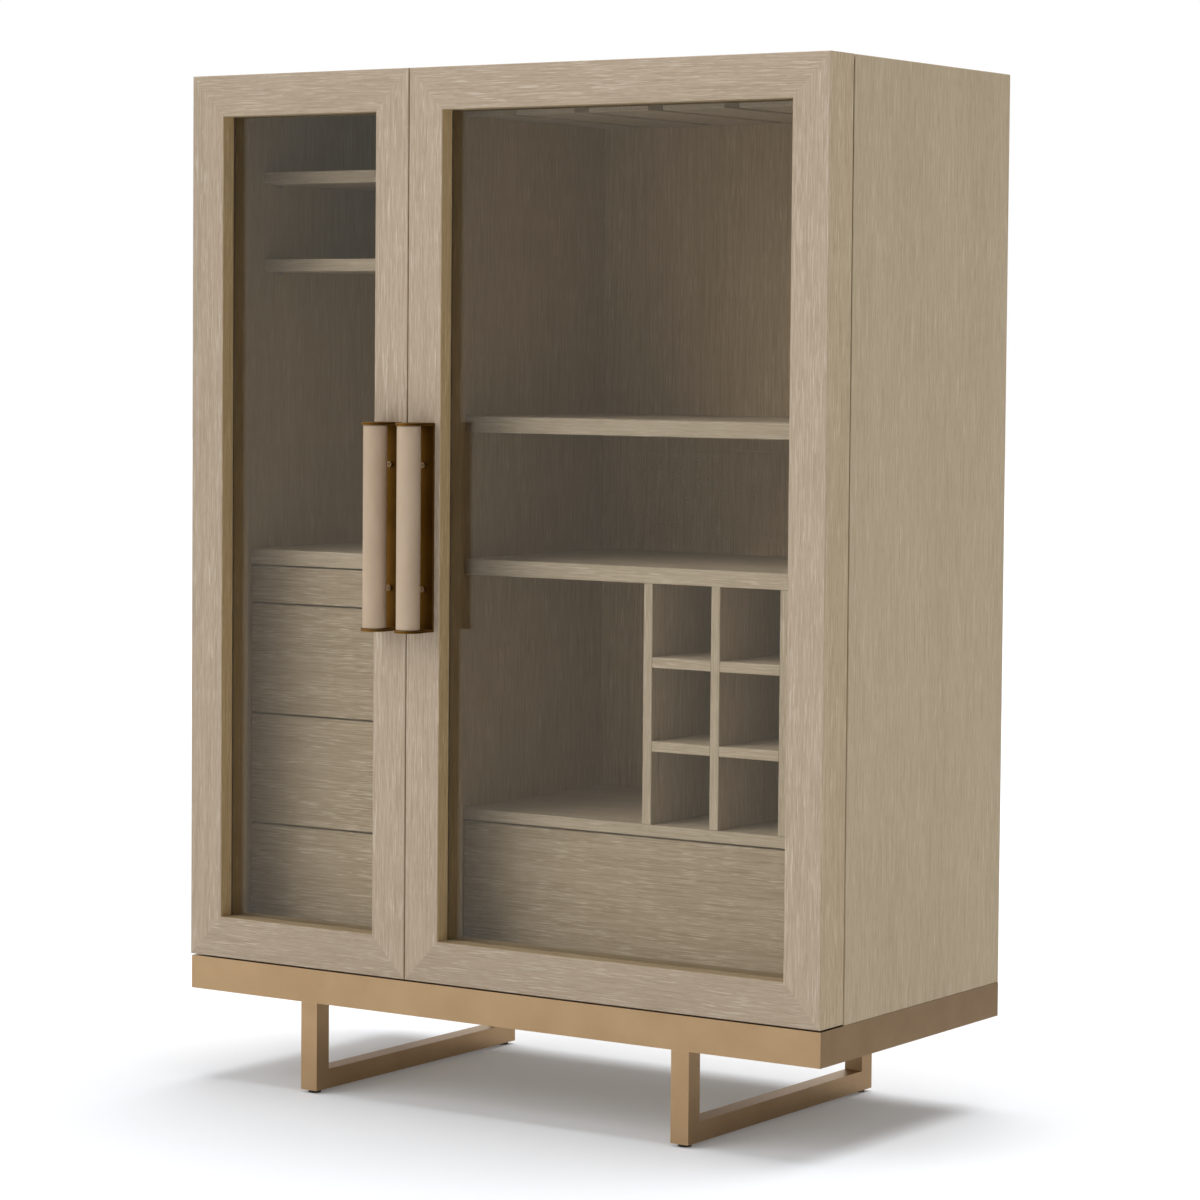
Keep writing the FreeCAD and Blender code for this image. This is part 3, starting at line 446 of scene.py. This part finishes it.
def painted_door_edge_light(board):
    """Paints light and shade onto the edges of a door member, by the way its faces look."""
    inward = next(way for ending, way in TOWARDS_GLASS.items() if board.endswith(ending))
    inner_light_shade = STILE_INNER_BOUNCE_LIGHT if board.endswith("_stile") else RAIL_INNER_SHADE
    glass_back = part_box(board.split("_")[0] + "_door_glass")[1].y

    def tint(tree, colour):
        coordinates = add(tree, "TexCoord", {})
        facing = coordinates.outputs["Normal"]
        depth = add(tree, "SeparateXYZ", {0: coordinates.outputs["Object"]}).outputs["Y"]
        backward = dot(tree, facing, (0, BACKWARD, 0))
        edge = remap(tree, math_node(tree, "ABSOLUTE", backward, 0.0), EDGE_FACING, UNIT_RANGE)
        # Painted warm light on the faces that look little to the front or back.
        colour = mix(tree, edge, colour, opaque(DOOR_EDGE_WARM_LIGHT), "MULTIPLY")
        inner = remap(tree, dot(tree, facing, inward), INNER_FACING, UNIT_RANGE)
        # Round the glass: painted warm bounce light on the stiles, painted shade on the rails.
        colour = mix(tree, inner, colour, opaque(inner_light_shade), "MULTIPLY")
        # Painted shade on the inner edges behind the glass.
        past_glass = remap(tree, depth, (glass_back, glass_back + BEHIND_GLASS_STEP), UNIT_RANGE)
        behind = math_node(tree, "MULTIPLY", inner, past_glass)
        return mix(tree, behind, colour, opaque(BEHIND_GLASS_SHADE), "MULTIPLY")

    return tint


def birch(name, grain, seed, turn_place=None):
    """Plain birch with hardly any wax."""
    return wood(name, grain, seed, BIRCH_COLOURS, BIRCH_WAX_SHARE, turn_place)


def side_boards(box_node):
    """Turns the grain of a drawer box's two side boards to run from front to back."""
    low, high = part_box(box_node)
    middle = (low.x + high.x) / 2
    inner = (high.x - low.x) / 2 - DRAWER_BOARD

    def turn(tree, place):
        parts = add(tree, "SeparateXYZ", {0: place}).outputs
        across = math_node(tree, "ABSOLUTE", math_node(tree, "SUBTRACT", parts["X"], middle), 0.0)
        on_side = math_node(tree, "GREATER_THAN", across, inner)
        turned = add(tree, "CombineXYZ", {"X": parts["Y"], "Y": parts["X"], "Z": parts["Z"]}).outputs[0]
        choice = {"Factor": on_side, MIX_VECTOR_FIRST: place, MIX_VECTOR_SECOND: turned}
        return add(tree, "Mix", choice, data_type="VECTOR").outputs[MIX_VECTOR_RESULT]

    return turn


def metal(name, worn=None, worn_width=RUB_WIDTH):
    """Satin metal with cloudy patina and fine grit.

    Its edges are rubbed lighter or, with worn, to that colour, which is partly wear and partly a painted
    highlight.
    """
    dark, light, roughness, seed = METALS[name]
    material, tree = new_tree(name)
    place = object_place(tree)
    cloud = noise(tree, place, METAL_CLOUD, seed).outputs[0]
    grit = noise(tree, place, METAL_GRIT, seed).outputs[0]
    patina = ramp_through(tree, cloud, METAL_CLOUD_STOPS, (dark, light))
    rounded = add(tree, "Bevel", {"Radius": worn_width}, samples=RUB_SAMPLES).outputs[0]
    facing = add(tree, "NewGeometry", {}).outputs["Normal"]
    most_rubbed = WORN_AND_HIGHLIGHT_SHARE if worn else RUB_AND_HIGHLIGHT_SHARE
    # Edges rubbed lighter: partly wear, partly a painted highlight.
    rubbed = remap(tree, dot(tree, rounded, facing), RUB_FACING, (0.0, most_rubbed))
    lighter = tuple(min(1.0, c * RUB_AND_HIGHLIGHT_GAIN) for c in light)
    colour = mix(tree, rubbed, patina, opaque(worn or lighter))
    rough_range = (roughness - METAL_ROUGHNESS_SPREAD, roughness + METAL_ROUGHNESS_SPREAD)
    rough = remap(tree, grit, NOISE_RANGE, rough_range)
    finish_surface(tree, colour, rough, grit, METAL_BUMP, Metallic=1.0)
    return material


def leather(name):
    """Smooth pale hide with fine creased grain and a soft, handled sheen."""
    material, tree = new_tree(name)
    place = object_place(tree)
    cloud = noise(tree, place, HIDE_CLOUD, HIDE_SEED).outputs[0]
    cells = add(tree, "TexVoronoi", {"Vector": place, "Scale": HIDE_CELLS}, feature="DISTANCE_TO_EDGE")
    creases = remap(tree, cells.outputs[0], HIDE_CREASE, UNIT_RANGE)
    fine = noise(tree, place, HIDE_FINE, HIDE_SEED).outputs[0]
    hide = ramp_through(tree, cloud, NOISE_RANGE, HIDE_COLOURS)
    creased = remap(tree, creases, UNIT_RANGE, HIDE_CREASE_SHARES)
    colour = mix(tree, creased, hide, opaque(HIDE_CREASE_COLOUR))
    roughness = remap(tree, fine, NOISE_RANGE, HIDE_ROUGHNESS)
    height = math_node(tree, "ADD", creases, math_node(tree, "MULTIPLY", fine, HIDE_FINE_HEIGHT_SHARE))
    finish_surface(tree, colour, roughness, height, HIDE_BUMP, **{"Specular IOR Level": HIDE_SPECULAR})
    return material


def thread(name):
    """Waxed linen thread, twisted from fine plies."""
    material, tree = new_tree(name)
    twist = {"Vector": object_place(tree), "Scale": THREAD_TWIST, "Distortion": THREAD_UNEVENNESS}
    plies = add(tree, "TexWave", twist, bands_direction="DIAGONAL").outputs[0]
    colour = ramp_through(tree, plies, UNIT_RANGE, THREAD_COLOURS)
    finish_surface(tree, colour, remap(tree, plies, UNIT_RANGE, THREAD_ROUGHNESS), plies, THREAD_BUMP)
    return material


def plastic(name):
    """Moulded plastic with a fine spark-eroded texture."""
    material, tree = new_tree(name)
    place = object_place(tree)
    grain = noise(tree, place, PLASTIC_GRAIN).outputs[0]
    cloud = noise(tree, place, PLASTIC_CLOUD).outputs[0]
    colour = ramp_through(tree, cloud, NOISE_RANGE, PLASTIC_COLOURS)
    finish_surface(tree, colour, remap(tree, grain, NOISE_RANGE, PLASTIC_ROUGHNESS), grain, PLASTIC_BUMP)
    return material


def smoked_glass(name):
    """Clear, slightly bronze-grey glass. Lamp light passes it with the same tint."""
    material, tree = new_tree(name)
    place = object_place(tree)
    wave = noise(tree, place, GLASS_WAVE).outputs[0]
    film = noise(tree, place, GLASS_FILM).outputs[0]
    bump = add(tree, "Bump", {"Height": wave, "Distance": GLASS_BUMP, "Strength": GLASS_BUMP_STRENGTH})
    filmed = tuple(c * GLASS_FILM_SHARE for c in GLASS_TINT)
    clear = add(tree, "BsdfPrincipled", {
        "Base Color": ramp_through(tree, film, GLASS_FILM_STOPS, (GLASS_TINT, filmed)),
        "Roughness": remap(tree, film, NOISE_RANGE, GLASS_ROUGHNESS),
        "Normal": bump.outputs[0],
        "IOR": GLASS_IOR,
        "Specular Tint": opaque(GLASS_SHEEN_TINT),
        "Transmission Weight": 1.0,
    })
    each_face = tuple(math.sqrt(c) for c in GLASS_TINT)
    passing = add(tree, "BsdfTransparent", {"Color": opaque(each_face)})
    lamp_ray = add(tree, "LightPath", {}).outputs["Is Shadow Ray"]
    both = add(tree, "MixShader", {0: lamp_ray, 1: clear.outputs[0], 2: passing.outputs[0]})
    add(tree, "OutputMaterial", {"Surface": both.outputs[0]})
    return material


def seen_ray(tree):
    """1 for rays from the camera, from reflections and through glass, else 0."""
    path = add(tree, "LightPath", {})
    reflected = math_node(tree, "MAXIMUM", path.outputs["Is Camera Ray"], path.outputs["Is Glossy Ray"])
    return math_node(tree, "MAXIMUM", reflected, path.outputs["Is Transmission Ray"])


def make_world():
    """A plain sky. The camera sees white, and reflections see the studio."""
    world = bpy.data.worlds.new("studio")
    world.use_nodes = True
    tree = world.node_tree
    tree.nodes.clear()
    direction = add(tree, "TexCoord", {}).outputs["Generated"]
    rightward = add(tree, "SeparateXYZ", {0: direction}).outputs["X"]
    studio = remap(tree, rightward, UNLIT_RANGE, (WHITE_STRENGTH, UNLIT_STRENGTH))
    path = add(tree, "LightPath", {})
    lighting = remap(tree, path.outputs["Is Glossy Ray"], UNIT_RANGE, (SKY_STRENGTH, studio))
    direct = math_node(tree, "LESS_THAN", path.outputs["Diffuse Depth"], FIRST_BOUNCE)
    through = math_node(tree, "MULTIPLY", path.outputs["Is Transmission Ray"], direct)
    backdrop = math_node(tree, "MAXIMUM", path.outputs["Is Camera Ray"], through)
    strength = remap(tree, backdrop, UNIT_RANGE, (lighting, WHITE_STRENGTH))
    sky = add(tree, "Background", {"Color": (1.0, 1.0, 1.0, 1.0), "Strength": strength})
    add(tree, "OutputWorld", {"Surface": sky.outputs[0]})
    bpy.context.scene.world = world


def floor_paper(name):
    """Pale matt paper with a faint glow. Reflections find it dimmer than rays through glass do."""
    material, tree = new_tree(name)
    rightward = add(tree, "SeparateXYZ", {0: object_place(tree)}).outputs["X"]
    mirrored = remap(tree, rightward, FLOOR_UNLIT_RANGE, (FLOOR_MIRRORED, FLOOR_UNLIT))
    path = add(tree, "LightPath", {})
    depth = math_node(tree, "ADD", path.outputs["Glossy Depth"], path.outputs["Diffuse Depth"])
    bounced = math_node(tree, "GREATER_THAN", depth, FIRST_BOUNCE)
    in_mirror = math_node(tree, "MULTIPLY", path.outputs["Is Glossy Ray"], bounced)
    matt = add(tree, "BsdfDiffuse", {"Color": mix(tree, in_mirror, opaque(FLOOR_COLOUR), mirrored)})
    glow = add(tree, "Emission", {"Strength": math_node(tree, "MULTIPLY", seen_ray(tree), FLOOR_GLOW)})
    both = add(tree, "AddShader", {0: matt.outputs[0], 1: glow.outputs[0]})
    add(tree, "OutputMaterial", {"Surface": both.outputs[0]})
    return material


def make_floor():
    half = FLOOR_SIZE / 2
    mesh = bpy.data.meshes.new("studio_floor")
    corners = [(-half, -half, 0.0), (half, -half, 0.0), (half, half, 0.0), (-half, half, 0.0)]
    mesh.from_pydata(corners, [], [(0, 1, 2, 3)])
    mesh.materials.append(floor_paper("studio_floor"))
    floor = bpy.data.objects.new("studio_floor", mesh)
    bpy.context.scene.collection.objects.link(floor)


def rotation(degrees, axis):
    return Matrix.Rotation(math.radians(degrees), 4, axis)


def make_lamps():
    """Two large soft lamps, far away."""
    for name, (strength, softness, turn, height) in LAMPS.items():
        lamp = bpy.data.lights.new(name, "SUN")
        lamp.energy = strength
        lamp.angle = math.radians(softness)
        source = bpy.data.objects.new(name, lamp)
        source.matrix_world = rotation(turn, "Z") @ rotation(LEVEL_TILT - height, "X")
        bpy.context.scene.collection.objects.link(source)


def make_camera():
    """The camera at the photograph's viewing angle."""
    data = bpy.data.cameras.new("photo_camera")
    data.sensor_width = CAMERA_SENSOR_MM
    data.lens = CAMERA_LENS_MM
    data.shift_y = CAMERA_SHIFT_Y
    data.clip_end = CAMERA_REACH
    camera = bpy.data.objects.new("photo_camera", data)
    tilt = rotation(LEVEL_TILT - CAMERA_TILT, "X")
    turned = rotation(CAMERA_TURN, "Z") @ tilt @ rotation(CAMERA_ROLL, "Z")
    camera.matrix_world = Matrix.Translation(CAMERA_PLACE) @ turned
    bpy.context.scene.collection.objects.link(camera)
    bpy.context.scene.camera = camera


def paint(material, *names):
    """Gives CAD nodes their finish."""
    for name in names:
        for slot in nodes[name].material_slots:
            slot.material = material


def paint_woods():
    """Gives each board a wood of its own, so that no two have the same grain."""
    seed = FIRST_BOARD_SEED
    for grain, names in OAK_BOARDS.items():
        for name in names:
            paint(oak(name, grain, seed), name)
            seed += BOARD_SEED_STEP
    for drawer in DRAWERS:
        box_node = drawer + "_box"
        paint(birch("birch_" + drawer, "X", seed, side_boards(box_node)), box_node)
        seed += BOARD_SEED_STEP
    paint(birch("birch_runners", "Y", seed), "drawer_runners")


def paint_metals():
    """Gives the base, handles, hinges, screws and pins their metals."""
    paint(metal("satin_brass"), "base_front_rail", "base_rear_rail", "base_left_rail", "base_right_rail",
          "left_sled_leg", "right_sled_leg")
    dark_brass = metal("dark_brass", BRACKET_WORN_AND_HIGHLIGHT_COLOUR, BRACKET_WORN_WIDTH)
    bright_brass = metal("bright_brass")
    hinge_brass = metal("hinge_brass")
    paint(hinge_brass, "hinge_pins")
    for side in ("left", "right"):
        paint(dark_brass, side + "_handle_bracket")
        paint(bright_brass, side + "_handle_screws")
        paint(hinge_brass, side + "_hinge_case_leaf", side + "_hinge_door_leaf")
    paint(metal("bright_steel"), "base_screws", "shelf_pins")


def new_piece(name, mesh_builder, material, body):
    """Turns a filled bmesh into a smooth piece of the object."""
    mesh = bpy.data.meshes.new(name)
    bmesh.ops.recalc_face_normals(mesh_builder, faces=mesh_builder.faces)
    for face in mesh_builder.faces:
        face.smooth = True
    mesh_builder.to_mesh(mesh)
    mesh_builder.free()
    mesh.materials.append(material)
    piece = bpy.data.objects.new(name, mesh)
    bpy.context.scene.collection.objects.link(piece)
    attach(piece, body)
    return piece


def loft(builder, rings, closed=True):
    """Joins rings of points side by side, and the last ring to the first if closed."""
    loops = [[builder.verts.new(point) for point in ring] for ring in rings]
    pairs = list(zip(loops, loops[1:])) + ([(loops[-1], loops[0])] if closed else [])
    for lower, upper in pairs:
        for i in range(len(lower)):
            j = (i + 1) % len(lower)
            builder.faces.new((lower[i], lower[j], upper[j], upper[i]))
    return loops


def sleeve_profile(inner, outer, bottom, top):
    """Radius and height round a sleeve's wall section, with rolled outer edges."""
    steps = [math.pi / 2 * i / SLEEVE_EDGE_STEPS for i in range(SLEEVE_EDGE_STEPS + 1)]
    corner = outer - SLEEVE_EDGE_RADIUS
    points = [(inner, bottom)]
    points += [(corner + SLEEVE_EDGE_RADIUS * math.sin(a), bottom + SLEEVE_EDGE_RADIUS * (1 - math.cos(a)))
               for a in steps]
    low, high = points[-1][1], top - SLEEVE_EDGE_RADIUS
    points += [(outer, low + (high - low) * i / SLEEVE_RINGS) for i in range(1, SLEEVE_RINGS)]
    points += [(corner + SLEEVE_EDGE_RADIUS * math.cos(a), high + SLEEVE_EDGE_RADIUS * math.sin(a))
               for a in steps]
    return points + [(inner, top)]


def seam_dip(angle):
    """How deep the sewn seam draws the leather in, at an angle in degrees from the back."""
    share = max(0.0, 1.0 - abs(angle) / SEAM_HALF_ANGLE)
    return SEAM_DEPTH * share * share


def make_sleeve(side, hide, linen):
    """A handle's leather sleeve, drawn in along its seam, and the stitches of the seam."""
    node = side + "_handle_leather"
    low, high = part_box(node)
    centre = (low + high) / 2
    outer = (high.x - low.x) / 2
    inner = min(math.hypot(v.co.x - centre.x, v.co.y - centre.y) for v in nodes[node].data.vertices)
    builder = bmesh.new()
    rings = []
    for radius, level in sleeve_profile(inner, outer, low.z, high.z):
        ring = []
        for i in range(SLEEVE_SIDES):
            angle = FULL_TURN * i / SLEEVE_SIDES - FULL_TURN / 2
            drawn = radius - seam_dip(angle) if radius > inner else radius
            turn = math.radians(angle)
            ring.append((centre.x + drawn * math.sin(turn), centre.y + drawn * math.cos(turn), level))
        rings.append(ring)
    loft(builder, rings)
    sleeve = new_piece(side + "_grip_sleeve", builder, hide, side + "_door")
    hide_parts(node)
    builder = bmesh.new()
    count = int((high.z - low.z - 2 * STITCH_MARGIN) / STITCH_PITCH)
    for n in range(count):
        level = centre.z + (n - (count - 1) / 2) * STITCH_PITCH
        add_stitch(builder, centre, outer, level)
    new_piece(side + "_grip_stitching", builder, linen, side + "_door")


def add_stitch(builder, centre, outer, level):
    """One slanted stitch across the seam, dipping into the leather at both ends."""
    rings = []
    for i in range(STITCH_STEPS + 1):
        share = 2.0 * i / STITCH_STEPS - 1.0
        turn = math.radians(STITCH_HALF_ANGLE * share)
        crown = outer + STITCH_RADIUS * (1.0 - STITCH_DIP_SHARE * share ** STITCH_DIP_POWER)
        thickness = STITCH_RADIUS * math.sqrt(max(STITCH_END_SHARE, 1.0 - share ** STITCH_TAPER_POWER))
        ring = []
        for k in range(STITCH_SIDES):
            around = 2 * math.pi * k / STITCH_SIDES
            radius = crown + thickness * math.cos(around)
            height = level + STITCH_SLANT * share + thickness * math.sin(around)
            ring.append((centre.x + radius * math.sin(turn), centre.y + radius * math.cos(turn), height))
        rings.append(ring)
    loops = loft(builder, rings, closed=False)
    builder.faces.new(loops[0])
    builder.faces.new(list(reversed(loops[-1])))


def add_screw_head(builder, centre, facing):
    """A low domed head with a cross recess, facing along Y."""
    rings = []
    for share in SCREW_RING_SHARES:
        radius = SCREW_RADIUS * share
        dome = SCREW_PROUD * (1.0 - share ** SCREW_DOME_POWER)
        ring = []
        for k in range(SCREW_SIDES):
            around = 2 * math.pi * k / SCREW_SIDES
            in_arm = share < RECESS_ARM_SHARE and abs(math.cos(2 * around)) > RECESS_ARM_COSINE
            sunk = RECESS_DEPTH if in_arm or share < RECESS_MIDDLE_SHARE else 0.0
            ring.append((centre.x + radius * math.cos(around), centre.y + facing * (dome - sunk),
                         centre.z + radius * math.sin(around)))
        rings.append(ring)
    loops = loft(builder, rings, closed=False)
    builder.faces.new(loops[-1])


def make_hinge_screws(side, leaf, body, facing, material):
    """A row of countersunk screws down one hinge leaf."""
    low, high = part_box(f"{side}_hinge_{leaf}_leaf")
    inward = 1 if side == "left" else -1
    x = (high.x if side == "left" else low.x) - inward * HINGE_LEAF_WIDTH / 2
    face = (low.y + HINGE_LEAF_THICKNESS) if facing == BACKWARD else (high.y - HINGE_LEAF_THICKNESS)
    builder = bmesh.new()
    for n in range(HINGE_SCREWS):
        z = low.z + (high.z - low.z) * (n + 0.5) / HINGE_SCREWS
        add_screw_head(builder, Vector((x, face, z)), facing)
    new_piece(f"{side}_hinge_{leaf}_screws", builder, material, body)


make_world()
make_floor()
make_lamps()
make_camera()
paint_woods()
paint_metals()
paint(plastic("black_plastic"), "floor_glides")
paint(smoked_glass("smoked_glass"), "left_door_glass", "right_door_glass")
hide = leather("tan_leather")
linen = thread("linen_thread")
hinge_steel = metal("hinge_screw_steel")
for side in ("left", "right"):
    paint(hide, side + "_handle_leather")
    make_sleeve(side, hide, linen)
    make_hinge_screws(side, "case", "cabinet", FORWARD, hinge_steel)
    make_hinge_screws(side, "door", side + "_door", BACKWARD, hinge_steel)

bpy.context.scene.view_settings.view_transform = "Standard"
bpy.context.view_layer.update()
